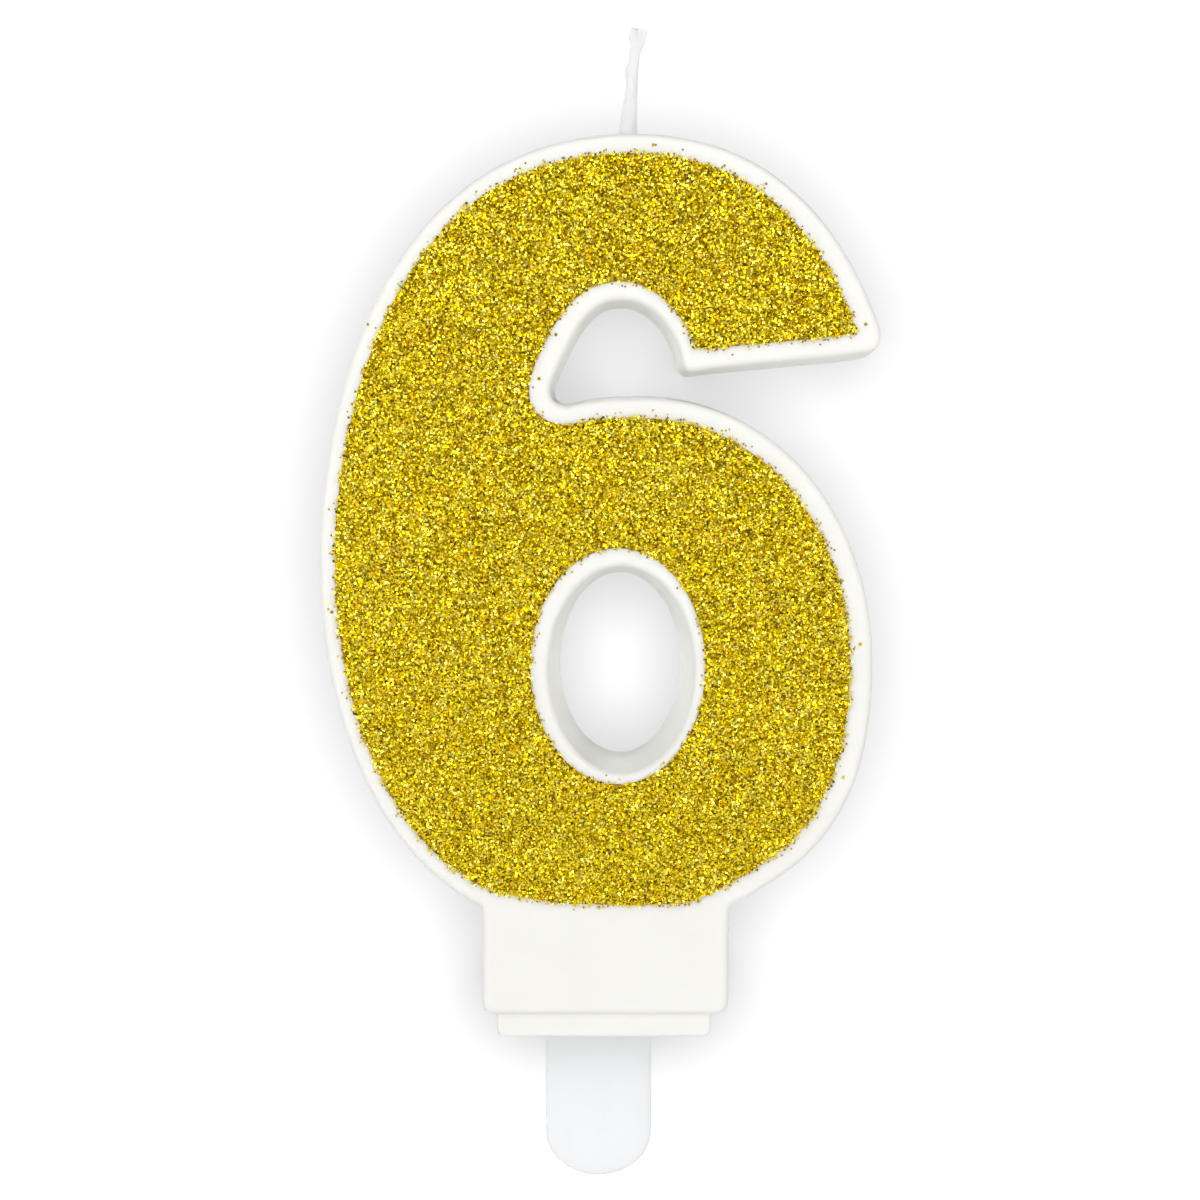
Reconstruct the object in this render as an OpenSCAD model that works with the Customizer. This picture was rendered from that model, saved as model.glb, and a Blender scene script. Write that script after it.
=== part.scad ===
// A moulded wax candle in the shape of a six, with a glitter face, a twisted cotton wick
// and a flat plastic pick that pushes up into its foot.
// Frame: +Z up, front face towards -Y, origin on the pick's axis at the underside of the foot.

/* [Wax casting] */
// Thickness of the casting, front face to back face
wax_t = 11; // [9:0.5:13]
// How far the outline stands out at the back compared with the front
draft = 0.3; // [0.1:0.05:0.4]
// How much the counter narrows on each side from front to back
counter_draft = 0.8; // [0.2:0.1:1]
// Radius of the rounded front edges
edge_r = 0.6; // [0.4:0.1:0.7]
// Half width of the counter, the hole in the bowl
counter_rx = 5.6; // [5:0.1:6]
// Half height of the counter
counter_rz = 8; // [7.5:0.1:8.5]

/* [Plinth and foot] */
// Width of the plinth under the digit
plinth_w = 19.1; // [19:0.05:19.2]
// Height of the plinth's underside above the foot's underside
plinth_z = 1.8; // [1.5:0.1:2.2]
// Width of the foot
foot_w = 16.6; // [14:0.2:17]
// How far the foot is set back from the front and back faces
foot_inset = 0.5; // [0.3:0.1:1.5]

/* [Glitter face] */
// Width of the bare rim round the glitter
rim = 1.35; // [1.1:0.05:1.6]
// Width of the bare rim round the counter
counter_rim = 1.05; // [0.9:0.05:1.3]
// How far the glitter is printed off centre, towards -X
print_shift = 0.27; // [0:0.03:0.3]
// Thickness of the glue film
glue_t = 0.06; // [0.05:0.01:0.1]
// Thickness of the layer of glitter flakes
glitter_t = 0.3; // [0.2:0.02:0.4]
// Width across the corners of one loose flake
flake_d = 0.32; // [0.24:0.02:0.4]
// Thickness of one loose flake
flake_t = 0.05; // [0.04:0.01:0.08]

/* [Wick] */
// Radius of one cotton ply
ply_r = 0.17; // [0.14:0.01:0.17]
// Distance from the wick's centre line to the centre line of a ply
ply_lay = 0.22; // [0.21:0.005:0.225]
// Length along the wick for one turn of a ply
ply_pitch = 11; // [10:0.5:14]
// Outer radius of the wax skin on the bare wick
skin_r = 0.48; // [0.46:0.01:0.52]
// Radius of the wax collar where the wick leaves the casting
collar_r = 0.95; // [0.8:0.05:1.1]
// Height of the wax collar
collar_h = 2.8; // [2:0.1:3.4]

/* [Pick] */
// Width of the pick's blade
pick_w = 8.3; // [7:0.1:8.6]
// Thickness of the pick's blade
pick_t = 1.4; // [1:0.1:1.8]
// Length of the pick below the foot
pick_out = 11.6; // [8:0.2:14]
// Height of the pick's rounded end
pick_tip = 3.5; // [3:0.1:4.1]
// Length of the pick inside the foot
pick_in = 13; // [9:0.5:14]
// Bevel on the two inner corners of the pick
pick_bevel = 1; // [0.5:0.1:1.5]
// Gap between the pick and its slot on each side
pick_gap = 0.05; // [0.03:0.01:0.08]

/* [Hidden] */

front_y = -wax_t / 2;
back_y = wax_t / 2;
eps = 0.01;

// The digit's outline as curve nodes, clockwise from where its left side meets the plinth.
// Each row: x, z, heading in degrees, reach of the curve arriving, reach of the curve leaving.
JOIN_Z = 10.1;
SIX = [
    [-9.0, JOIN_Z, 154.5, 0, 8.0],  // left side meets the plinth
    [-21.6, 37.2, 90, 13.9, 8.9],   // furthest left
    [2.7, 69.9, 0, 20.9, 10.3],     // top
    [21.6, 55.3, -69.5, 8.8, 1.3],  // outer corner of the terminal
    [21.0, 53.1, 192, 0.8, 2.3],    // lower corner of the terminal
    [7.3, 51.6, 189.5, 3.0, 1.0],   // inner corner of the terminal
    [6.2, 53.2, 108, 0.8, 2.6],     // right side of the upper opening
    [1.8, 57.1, 180, 1.7, 2.9],     // top of the upper opening
    [-3.4, 51.3, -115.5, 2.8, 2.7], // left side of the upper opening
    [-2.2, 48.9, 15, 0.3, 1.8],     // notch where the bowl leaves the spine
    [3.4, 49.5, 0, 2.3, 10.6],      // top of the bowl
    [21.2, 29.0, -90, 11.3, 13.4],  // furthest right
    [10.1, JOIN_Z, -150.5, 5.4, 3]  // right side meets the plinth
];
BOWL_FOOT = [0.6, 8.85, 180, 5, 5];
STEP_LEN = 2.4;
MIN_STEPS = 4;

counter_x = 1.75;
counter_z = 28.5;
counter_sides = 40;
bead_sides = 16;
counter_print_lift = 0.3;

plinth_x = 0.5;
plinth_corner = 0.8;
foot_x = 0.4;
foot_corner = 0.6;
foot_overlap = 1;
corner_steps = 4;

// The wick's centre line from its lower end to its tip.
WICK = [
    [-10.5, 0, 20], [-12, 0, 26], [-13, 0, 34], [-13, 0, 42], [-11.5, 0, 50], [-8.5, 0, 56.5],
    [-4, 0, 61.5], [0.5, 0, 64.8], [2.3, 0, 67.5], [2.4, 0, 70], [2.6, 0, 74], [3.1, 0, 78.6]
];
WICK_RINGS = 6;
WICK_EXIT = 9;
WICK_ROOM = 0.04;
PLIES = 3;
SIDES = 8;
collar_sink = 0.15;

// Loose flakes on the bare rim: x and z of each.
STRAYS = [
    [-17.8, 55.2], [20.6, 55.2], [-3.3, 54.4], [-4.6, 51.0], [4.2, 69.0], [12.9, 66.0],
    [-10.2, 64.5], [-20.6, 33.0], [18.9, 20.2], [9.4, 11.6], [-11.2, 12.8], [20.2, 30.5]
];

// A point on a cubic curve between two nodes.
function reach(n, r) = [n[0] + r * cos(n[2]), n[1] + r * sin(n[2])];
function on_curve(a, b, t) =
    pow(1 - t, 3) * [a[0], a[1]] + 3 * pow(1 - t, 2) * t * reach(a, a[4])
    + 3 * (1 - t) * t * t * reach(b, -b[3]) + t * t * t * [b[0], b[1]];
function steps_between(a, b) = max(MIN_STEPS, round(norm([b[0] - a[0], b[1] - a[1]]) / STEP_LEN));
function along(nodes) = [
    for (i = [0 : len(nodes) - 2])
        let (n = steps_between(nodes[i], nodes[i + 1]))
        for (s = [0 : n - 1]) on_curve(nodes[i], nodes[i + 1], s / n)
];
function end_of(nodes) = [nodes[len(nodes) - 1][0], nodes[len(nodes) - 1][1]];
function arc(cx, cz, r, a0, a1) = [
    for (s = [0 : corner_steps])
        let (a = a0 + (a1 - a0) * s / corner_steps)
        [cx + r * cos(a), cz + r * sin(a)]
];

plinth_r = plinth_x + plinth_w / 2;
plinth_l = plinth_x - plinth_w / 2;

function six_and_plinth() = concat(
    along(SIX), [end_of(SIX)],
    arc(plinth_r - plinth_corner, plinth_z + plinth_corner, plinth_corner, 0, -90),
    arc(plinth_l + plinth_corner, plinth_z + plinth_corner, plinth_corner, -90, -180)
);
function six_face() = along(concat(SIX, [BOWL_FOOT], [SIX[0]]));
function ellipse(rx, rz) = [
    for (i = [0 : counter_sides - 1])
        let (a = -360 * i / counter_sides)
        [counter_x + rx * cos(a), counter_z + rz * sin(a)]
];

// The outline moved outwards by d, mitred at its corners. The points run clockwise.
function left_of(a, b) = let (v = b - a) [-v[1], v[0]] / norm(v);
function grown(pts, d) = [
    for (i = [0 : len(pts) - 1])
        let (n = len(pts),
             u = left_of(pts[(i + n - 1) % n], pts[i]),
             v = left_of(pts[i], pts[(i + 1) % n]))
        pts[i] + d * (u + v) / (1 + u * v)
];

// Rings of the counter's wall, front to back: how far each stands out, and its Y.
function counter_rings() = [
    [edge_r, front_y - 1],
    for (a = [0 : 45 : 90]) [edge_r * (1 - sin(a)), front_y + edge_r * (1 - cos(a))],
    [-counter_draft, back_y],
    [-counter_draft, back_y + 1]
];

// The solid that cuts the counter, running past both faces.
module counter() {
    ring = ellipse(counter_rx, counter_rz);
    rings = counter_rings();
    n = len(ring);
    m = len(rings);
    points = [for (r = rings) for (p = grown(ring, r[0])) [p[0], r[1], p[1]]];
    sides = [
        for (k = [0 : m - 2]) for (i = [0 : n - 1])
            [k * n + i, (k + 1) * n + i, (k + 1) * n + (i + 1) % n, k * n + (i + 1) % n]
    ];
    front = [for (i = [0 : n - 1]) i];
    back = [for (i = [n - 1 : -1 : 0]) (m - 1) * n + i];
    polyhedron(points, concat([front, back], sides));
}

// A turned bead that, rolled round the flat outline, gives the drafted wall and rounded front edge.
module bead() {
    rotate_extrude($fn = bead_sides) polygon([
        [0, 0], [edge_r + draft, 0], [edge_r, wax_t - edge_r],
        [edge_r * sin(45), wax_t - edge_r * (1 - cos(45))], [0, wax_t - eps]
    ]);
}

module drafted_six() {
    translate([0, back_y, 0]) rotate([90, 0, 0]) minkowski() {
        linear_extrude(eps) polygon(grown(six_and_plinth(), -edge_r));
        bead();
    }
}

// A point on the smooth line through the wick's points.
function spline(p, i, t) =
    let (a = p[max(i - 1, 0)], b = p[i], c = p[i + 1], d = p[min(i + 2, len(p) - 1)])
    0.5 * (2 * b + (c - a) * t + (2 * a - 5 * b + 4 * c - d) * t * t
    + (3 * b - a - 3 * c + d) * t * t * t);
function smooth(p) = concat(
    [for (i = [0 : len(p) - 2]) for (s = [0 : WICK_RINGS - 1]) spline(p, i, s / WICK_RINGS)],
    [p[len(p) - 1]]
);
function heading(p, i) =
    let (v = p[min(i + 1, len(p) - 1)] - p[max(i - 1, 0)]) v / norm(v);
function run_to(p, i) = i == 0 ? 0 : run_to(p, i - 1) + norm(p[i] - p[i - 1]);

// A tube along a line in the XZ plane. lay and turn set it off the line like a ply.
module tube(p, radii, lay = 0, turn = 0, pitch = 1) {
    n = len(p);
    points = [
        for (i = [0 : n - 1])
            let (h = heading(p, i),
                 side = [-h[2], 0, h[0]],
                 twist = lay == 0 ? 0 : turn + 360 * run_to(p, i) / pitch,
                 middle = p[i] + lay * (cos(twist) * side + [0, sin(twist), 0]))
            for (s = [0 : SIDES - 1])
                let (a = 360 * s / SIDES)
                middle + radii[i] * (cos(a) * side + [0, sin(a), 0])
    ];
    sides = [
        for (k = [0 : n - 2]) for (s = [0 : SIDES - 1])
            [k * SIDES + s, k * SIDES + (s + 1) % SIDES,
             (k + 1) * SIDES + (s + 1) % SIDES, (k + 1) * SIDES + s]
    ];
    low = [for (s = [SIDES - 1 : -1 : 0]) s];
    high = [for (s = [0 : SIDES - 1]) (n - 1) * SIDES + s];
    polyhedron(points, concat([low, high], sides));
}
function same(r, n) = [for (i = [0 : n - 1]) r];

wick_line = smooth(WICK);
bundle_r = ply_lay + ply_r;
channel_r = (bundle_r + WICK_ROOM) / cos(180 / SIDES);
bare_line = [for (i = [WICK_EXIT * WICK_RINGS : len(wick_line) - 1]) wick_line[i]];
skin_line = concat([bare_line[0] - [0, 0, collar_sink]], bare_line);
function collar(h) = skin_r + (collar_r - skin_r) * pow(max(0, 1 - h / collar_h), 2);

module upright(depth) {
    translate([0, depth / 2, 0]) rotate([90, 0, 0]) linear_extrude(depth) children();
}

module foot() {
    foot_r = foot_x + foot_w / 2;
    foot_l = foot_x - foot_w / 2;
    upright(wax_t - 2 * foot_inset)
        polygon(concat(
            [[foot_l, plinth_z + foot_overlap], [foot_r, plinth_z + foot_overlap]],
            arc(foot_r - foot_corner, foot_corner, foot_corner, 0, -90),
            arc(foot_l + foot_corner, foot_corner, foot_corner, -90, -180)
        ));
}

module pick_slot() {
    slot_w = pick_w + 2 * pick_gap;
    slot_t = pick_t + 2 * pick_gap;
    translate([-slot_w / 2, -slot_t / 2, -1]) cube([slot_w, slot_t, 1 + pick_in + pick_gap]);
}

module wax_body() color("ivory") {
    channel = concat([wick_line[0] + [0.3, 0, -1]], wick_line);
    difference() {
        union() {
            drafted_six();
            foot();
        }
        counter();
        pick_slot();
        tube(channel, same(channel_r, len(channel)));
    }
}

module glitter_area() {
    difference() {
        translate([-print_shift, 0]) offset(delta = -rim) polygon(six_face());
        translate([-print_shift, counter_print_lift])
            polygon(ellipse(counter_rx + counter_rim, counter_rz + counter_rim));
    }
}

module on_front(gap, depth) {
    translate([0, front_y - gap, 0]) rotate([90, 0, 0]) linear_extrude(depth) children();
}

module glue_film() color("honeydew") on_front(0, glue_t) glitter_area();

module glitter_coat() color("goldenrod") on_front(glue_t, glitter_t) glitter_area();

module stray_flakes() color("gold")
    for (i = [0 : len(STRAYS) - 1])
        translate([STRAYS[i][0], front_y, STRAYS[i][1]])
            rotate([90, 17 * i, 0]) cylinder(d = flake_d, h = flake_t, $fn = 6);

module wick_ply(k) color("white")
    tube(wick_line, same(ply_r, len(wick_line)), ply_lay, 360 * k / PLIES, ply_pitch);

module wick_ply_a() wick_ply(0);

module wick_ply_b() wick_ply(1);

module wick_ply_c() wick_ply(2);

module wick_wax_skin() color("whitesmoke") {
    n = len(skin_line);
    inner = concat([skin_line[0] - [0, 0, 1]], skin_line, [skin_line[n - 1] + [0.1, 0, 1]]);
    difference() {
        tube(skin_line, [for (i = [0 : n - 1]) collar(run_to(skin_line, i))]);
        tube(inner, same((bundle_r + eps) / cos(180 / SIDES), n + 2));
    }
}

module cake_pick() color("aliceblue") {
    half = pick_w / 2;
    tip_z = pick_tip - pick_out;
    tip = [for (a = [0 : -10 : -180]) [half * cos(a), tip_z + pick_tip * sin(a)]];
    top = [
        [-half, pick_in - pick_bevel], [-half + pick_bevel, pick_in],
        [half - pick_bevel, pick_in], [half, pick_in - pick_bevel]
    ];
    upright(pick_t) polygon(concat(tip, top));
}

wax_body();
glue_film();
glitter_coat();
stray_flakes();
wick_ply_a();
wick_ply_b();
wick_ply_c();
wick_wax_skin();
cake_pick();
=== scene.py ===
import math

import bmesh
import bpy
import numpy as np
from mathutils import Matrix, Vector, geometry

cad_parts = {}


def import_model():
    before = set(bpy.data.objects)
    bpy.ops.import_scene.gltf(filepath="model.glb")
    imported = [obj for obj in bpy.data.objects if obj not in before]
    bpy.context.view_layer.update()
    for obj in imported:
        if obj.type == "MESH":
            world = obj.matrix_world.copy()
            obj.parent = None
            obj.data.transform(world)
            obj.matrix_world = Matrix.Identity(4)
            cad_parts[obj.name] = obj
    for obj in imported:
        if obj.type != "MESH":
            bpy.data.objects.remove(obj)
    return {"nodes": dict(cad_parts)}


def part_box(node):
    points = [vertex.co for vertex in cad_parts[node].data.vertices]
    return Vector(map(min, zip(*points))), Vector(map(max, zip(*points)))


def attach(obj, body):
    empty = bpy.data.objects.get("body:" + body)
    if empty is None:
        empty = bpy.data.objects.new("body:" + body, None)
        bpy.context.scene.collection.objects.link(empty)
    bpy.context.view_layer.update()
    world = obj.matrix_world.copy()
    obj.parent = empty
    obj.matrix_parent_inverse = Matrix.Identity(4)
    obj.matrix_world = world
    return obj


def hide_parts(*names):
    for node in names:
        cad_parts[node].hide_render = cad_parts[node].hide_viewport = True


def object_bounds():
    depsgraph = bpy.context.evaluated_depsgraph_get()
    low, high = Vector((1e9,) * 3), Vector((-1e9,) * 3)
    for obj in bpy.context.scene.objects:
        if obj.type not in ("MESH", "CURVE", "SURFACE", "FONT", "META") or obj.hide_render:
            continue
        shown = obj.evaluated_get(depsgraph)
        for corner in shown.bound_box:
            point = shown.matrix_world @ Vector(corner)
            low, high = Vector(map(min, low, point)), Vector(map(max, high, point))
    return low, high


# Looks of a moulded wax candle in the shape of a six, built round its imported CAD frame.
# Lengths are millimetres; make_piece() turns them into metres.
# +Z is up and the glitter face looks towards -Y.

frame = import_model()
CAD_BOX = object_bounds()
MM = 0.001

# ---------------------------------------------------------------- sizes shared with the CAD source
# Each row: x, z, heading in degrees, reach of the curve arriving, reach of the curve leaving.
JOIN_Z = 10.1
SIX = [
    (-9.0, JOIN_Z, 154.5, 0, 8.0),
    (-21.6, 37.2, 90, 13.9, 8.9),
    (2.7, 69.9, 0, 20.9, 10.3),
    (21.6, 55.3, -69.5, 8.8, 1.3),
    (21.0, 53.1, 192, 0.8, 2.3),
    (7.3, 51.6, 189.5, 3.0, 1.0),
    (6.2, 53.2, 108, 0.8, 2.6),
    (1.8, 57.1, 180, 1.7, 2.9),
    (-3.4, 51.3, -115.5, 2.8, 2.7),
    (-2.2, 48.9, 15, 0.3, 1.8),
    (3.4, 49.5, 0, 2.3, 10.6),
    (21.2, 29.0, -90, 11.3, 13.4),
    (10.1, JOIN_Z, -150.5, 5.4, 3),
]
BOWL_FOOT = (0.6, 8.85, 180, 5, 5)
EDGE_R = 0.6
DRAFT = 0.3
COUNTER = (1.75, 28.5)
COUNTER_R = (5.6, 8.0)
COUNTER_DRAFT = 0.8
PLINTH_X = 0.5
PLINTH_W = 19.1
PLINTH_Z = 1.8
PLINTH_CORNER = 0.8
FOOT_X = 0.4
FOOT_W = 16.6
FOOT_CORNER = 0.6
FOOT_INSET = 0.5
FOOT_OVERLAP = 1.0
RIM = 1.35
COUNTER_RIM = 1.05
PRINT_SHIFT = 0.27
COUNTER_PRINT_LIFT = 0.3
PICK_TIP = 3.5
PICK_BEVEL = 1.0
PICK_GAP = 0.05
PLY_R = 0.17
PLY_LAY = 0.22
PLY_PITCH = 11.0
CHANNEL_R = 0.45
# The wick's centre line in the XZ plane, from its lower end to its tip.
WICK = [
    (-10.5, 20), (-12, 26), (-13, 34), (-13, 42), (-11.5, 50), (-8.5, 56.5),
    (-4, 61.5), (0.5, 64.8), (2.3, 67.5), (2.4, 70), (2.6, 74), (3.1, 78.6),
]


def node_box(name):
    """Lowest and highest corner of a CAD node, in millimetres."""
    low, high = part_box(name)
    return np.array(low) / MM, np.array(high) / MM


WAX_LOW, WAX_HIGH = node_box("wax_body")
PICK_LOW, PICK_HIGH = node_box("cake_pick")
COAT_LOW, COAT_HIGH = node_box("glitter_coat")
SKIN_LOW, SKIN_HIGH = node_box("wick_wax_skin")
FRONT, BACK = WAX_LOW[1], WAX_HIGH[1]


# ---------------------------------------------------------------- curves and loops
def reach(row, distance):
    angle = math.radians(row[2])
    return np.array([row[0] + distance * math.cos(angle), row[1] + distance * math.sin(angle)])


def along(rows, step=0.1):
    """Points on the cubic curves that join the rows, leaving out the last row's own point."""
    points = []
    for a, b in zip(rows, rows[1:]):
        start, end = np.array(a[:2]), np.array(b[:2])
        n = max(8, round(np.linalg.norm(end - start) / step))
        t = (np.arange(n) / n)[:, None]
        points.append(
            (1 - t) ** 3 * start
            + 3 * (1 - t) ** 2 * t * reach(a, a[4])
            + 3 * (1 - t) * t**2 * reach(b, -b[3])
            + t**3 * end
        )
    return np.concatenate(points)


def arc(centre, radius, start, end, steps=8):
    a = np.radians(np.linspace(start, end, steps + 1))
    return np.stack([centre[0] + radius * np.cos(a), centre[1] + radius * np.sin(a)], 1)


def evenly(loop, step):
    """A closed loop with its points spread evenly along it."""
    closed = np.vstack([loop, loop[:1]])
    run = np.concatenate([[0], np.cumsum(np.linalg.norm(np.diff(closed, axis=0), axis=1))])
    at = np.linspace(0, run[-1], max(12, round(run[-1] / step)), endpoint=False)
    return np.stack([np.interp(at, run, closed[:, k]) for k in (0, 1)], 1)


def softened(loop, step, radius):
    """A closed, even loop whose sharp corners are eased over about the radius."""
    width = radius / step
    k = np.arange(-math.ceil(3 * width), math.ceil(3 * width) + 1)
    weights = np.exp(-0.5 * (k / width) ** 2)
    weights /= weights.sum()
    return sum(w * np.roll(loop, -i, axis=0) for i, w in zip(k, weights))


def out_normals(loop, hole=False):
    """Unit normals that point out of the material, on a loop round it or round a hole in it."""
    t = np.roll(loop, -1, axis=0) - np.roll(loop, 1, axis=0)
    n = np.stack([t[:, 1], -t[:, 0]], 1) / np.linalg.norm(t, axis=1)[:, None]
    x, z = loop[:, 0], loop[:, 1]
    anticlockwise = np.sum(x * np.roll(z, -1) - np.roll(x, -1) * z) > 0
    return n if anticlockwise != hole else -n


def inside(points, loop):
    """Which points lie inside a closed loop."""
    found = np.zeros(len(points), bool)
    x, z = points[:, 0], points[:, 1]
    for a, b in zip(loop, np.roll(loop, -1, axis=0)):
        if a[1] != b[1]:
            crosses = (a[1] > z) != (b[1] > z)
            found ^= crosses & (x < a[0] + (b[0] - a[0]) * (z - a[1]) / (b[1] - a[1]))
    return found


def clearance(points, loop):
    """Distance from each point to the nearest point of a dense loop."""
    nearest = np.empty(len(points))
    for start in range(0, len(points), 4000):
        part = points[start:start + 4000, None, :] - loop[None, :, :]
        nearest[start:start + 4000] = np.sqrt((part**2).sum(2).min(1))
    return nearest


def hex_grid(low, high, spacing):
    """Points of a triangular grid that covers a rectangle."""
    rows = []
    for k, z in enumerate(np.arange(low[1], high[1], spacing * math.sqrt(0.75))):
        x = np.arange(low[0], high[0], spacing) + (k % 2) * spacing / 2
        rows.append(np.stack([x, np.full(len(x), z)], 1))
    return np.concatenate(rows)


def ripple(x, z):
    """A slow, uneven wave between about -1 and 1."""
    wave = np.sin(0.31 * x + 0.17 * z + 1.0) + np.sin(0.13 * x - 0.37 * z + 2.3)
    return (wave + 0.7 * np.sin(0.71 * x + 0.53 * z + 4.1) + 0.5 * np.sin(1.3 * z - 0.9 * x)) / 3.2


def spline(points, steps):
    """A smooth line through the points."""
    p = np.array(points, float)
    line = []
    for i in range(len(p) - 1):
        a, b, c, d = p[max(i - 1, 0)], p[i], p[i + 1], p[min(i + 2, len(p) - 1)]
        for t in np.arange(steps) / steps:
            line.append(0.5 * (2 * b + (c - a) * t + (2 * a - 5 * b + 4 * c - d) * t**2
                               + (3 * b - a - 3 * c + d) * t**3))
    return np.array(line + [p[-1]])


# ---------------------------------------------------------------- meshes
def in_box(points):
    """Points held inside the CAD model's box."""
    low, high = (np.array(corner) / MM for corner in CAD_BOX)
    return np.clip(points, low, high)


def mesh_of(name, points, faces):
    mesh = bpy.data.meshes.new(name)
    mesh.from_pydata((in_box(np.asarray(points)) * MM).tolist(), [], [list(f) for f in faces])
    obj = bpy.data.objects.new(name, mesh)
    bpy.context.scene.collection.objects.link(obj)
    return obj


def outward(obj):
    """Turns the faces of each closed shell outwards."""
    bm = bmesh.new()
    bm.from_mesh(obj.data)
    bmesh.ops.recalc_face_normals(bm, faces=bm.faces)
    bm.to_mesh(obj.data)
    bm.free()
    return obj


def smooth(obj, sharp_above=40):
    obj.data.polygons.foreach_set("use_smooth", [True] * len(obj.data.polygons))
    obj.data.set_sharp_from_angle(angle=math.radians(sharp_above))
    return obj


def dressed(obj, material, slot, body, *replaced):
    """Gives a piece its material, its body and the CAD nodes that it stands for; slot is not used."""
    obj.data.materials.clear()
    obj.data.materials.append(material)
    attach(obj, body)
    if replaced:
        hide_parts(*replaced)
    return obj


def rounded_profile(front, back, edge_r, draft, back_r, wall_steps=8, bend_steps=5):
    """Rows of (how far out of the material, y) from the front face round to the back face."""
    rows = []
    for a in np.linspace(0, math.pi / 2, bend_steps + 1):
        rows.append((-edge_r * (1 - math.sin(a)), front + edge_r * (1 - math.cos(a))))
    start, end = front + edge_r, back - back_r
    for t in np.arange(1, wall_steps + 1) / wall_steps:
        rows.append((draft * t, start + (end - start) * t))
    for a in np.linspace(0, math.pi / 2, 4)[1:]:
        rows.append((draft - back_r * (1 - math.cos(a)), end + back_r * math.sin(a)))
    return rows


def cap_faces(rings, offsets, extra, first_extra):
    """Triangles between the rings of one face of a plate, with extra points inside it."""
    flat = [Vector(p) for ring in rings for p in ring] + [Vector(p) for p in extra]
    index = [o + i for ring, o in zip(rings, offsets) for i in range(len(ring))]
    index += list(range(first_extra, first_extra + len(extra)))
    edges, start = [], 0
    for ring in rings:
        edges += [(start + i, start + (i + 1) % len(ring)) for i in range(len(ring))]
        start += len(ring)
    inside_edges = 1
    found = geometry.delaunay_2d_cdt(flat, edges, [], inside_edges, 1e-6)
    source = [index[o[0]] for o in found[3]]
    triangles = np.array(found[2])
    middles = np.array([tuple(v) for v in found[0]])[triangles].mean(1)
    solid = inside(middles, rings[0])
    for hole in rings[1:]:
        solid &= ~inside(middles, hole)
    return [tuple(source[i] for i in face) for face in triangles[solid]]


def plate(name, loops, grain=0.9, wobble=0.0, waves=(0.0, 0.0)):
    """A closed plate. loops: (points, profile) of the outline, then of each hole.
    wobble is the walls' unevenness, and waves how far the front and back sink in places."""
    points, faces, rings_at = [], [], []
    for number, (loop, profile) in enumerate(loops):
        normals = out_normals(loop, hole=number > 0)
        n = len(loop)
        base = sum(len(p) for p in points)
        for k, (out, y) in enumerate(profile):
            uneven = wobble * ripple(3.1 * loop[:, 0] + 1.7 * y, 2.7 * loop[:, 1])
            ring = loop + normals * (out + uneven * (0 < k < len(profile) - 1))[:, None]
            points.append(np.stack([ring[:, 0], np.full(n, y), ring[:, 1]], 1))
        for k in range(len(profile) - 1):
            for i in range(n):
                j = (i + 1) % n
                a, b = base + k * n, base + (k + 1) * n
                faces.append((a + i, b + i, b + j, a + j))
        rings_at.append((base, base + (len(profile) - 1) * n, n))
    everything = np.concatenate(points)
    for side, wave in ((0, waves[0]), (1, waves[1])):
        rings = [everything[row[side]:row[side] + row[2]][:, [0, 2]] for row in rings_at]
        extra = hex_grid(rings[0].min(0), rings[0].max(0), grain)
        keep = inside(extra, rings[0])
        for hole in rings[1:]:
            keep &= ~inside(extra, hole)
        gap = clearance(extra, np.concatenate(rings))
        keep &= gap > grain * 0.45
        extra, gap = extra[keep], gap[keep]
        y = loops[0][1][-side][1]
        sink = wave * np.minimum(gap / 2, 1) * (1 + ripple(extra[:, 0], extra[:, 1])) / 2
        first = len(everything)
        faces += cap_faces(rings, [row[side] for row in rings_at], extra, first)
        depth = y + sink * (1 if side == 0 else -1)
        everything = np.concatenate([everything, np.stack([extra[:, 0], depth, extra[:, 1]], 1)])
    return outward(mesh_of(name, everything, faces))


def tube(line, sections):
    """Points and faces of a closed tube. line: x and z of each ring's centre; sections: for each
    ring, its points across the line and along Y."""
    n, m = len(line), sections.shape[1]
    heading = np.gradient(line, axis=0)
    heading /= np.linalg.norm(heading, axis=1)[:, None]
    across = np.stack([heading[:, 1], -heading[:, 0]], 1)
    flat = line[:, None, :] + sections[:, :, :1] * across[:, None, :]
    points = np.stack([flat[:, :, 0], sections[:, :, 1], flat[:, :, 1]], 2).reshape(-1, 3)
    faces = [
        (k * m + s, k * m + (s + 1) % m, (k + 1) * m + (s + 1) % m, (k + 1) * m + s)
        for k in range(n - 1) for s in range(m)
    ]
    faces.append(tuple(range(m))[::-1])
    faces.append(tuple(range((n - 1) * m, n * m)))
    return points, faces


def round_sections(radii, sides):
    a = np.arange(sides) * 2 * math.pi / sides
    circle = np.stack([np.cos(a), np.sin(a)], 1)
    return np.asarray(radii)[:, None, None] * circle[None]


def run_of(line):
    return np.concatenate([[0], np.cumsum(np.linalg.norm(np.diff(line, axis=0), axis=1))])


def boolean(obj, cutter, operation):
    """Joins or cuts obj with another mesh, which is then removed."""
    modifier = obj.modifiers.new("boolean", "BOOLEAN")
    modifier.operation = operation
    modifier.object = cutter
    modifier.solver = "EXACT"
    graph = bpy.context.evaluated_depsgraph_get()
    result = bpy.data.meshes.new_from_object(obj.evaluated_get(graph))
    obj.modifiers.clear()
    obj.data = result
    bpy.data.objects.remove(cutter)


# ---------------------------------------------------------------- materials
def new_material(name, settings):
    material = bpy.data.materials.new(name)
    material.use_nodes = True
    shader = material.node_tree.nodes["Principled BSDF"]
    for socket, value in settings.items():
        shader.inputs[socket].default_value = value
    return material, shader


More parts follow.
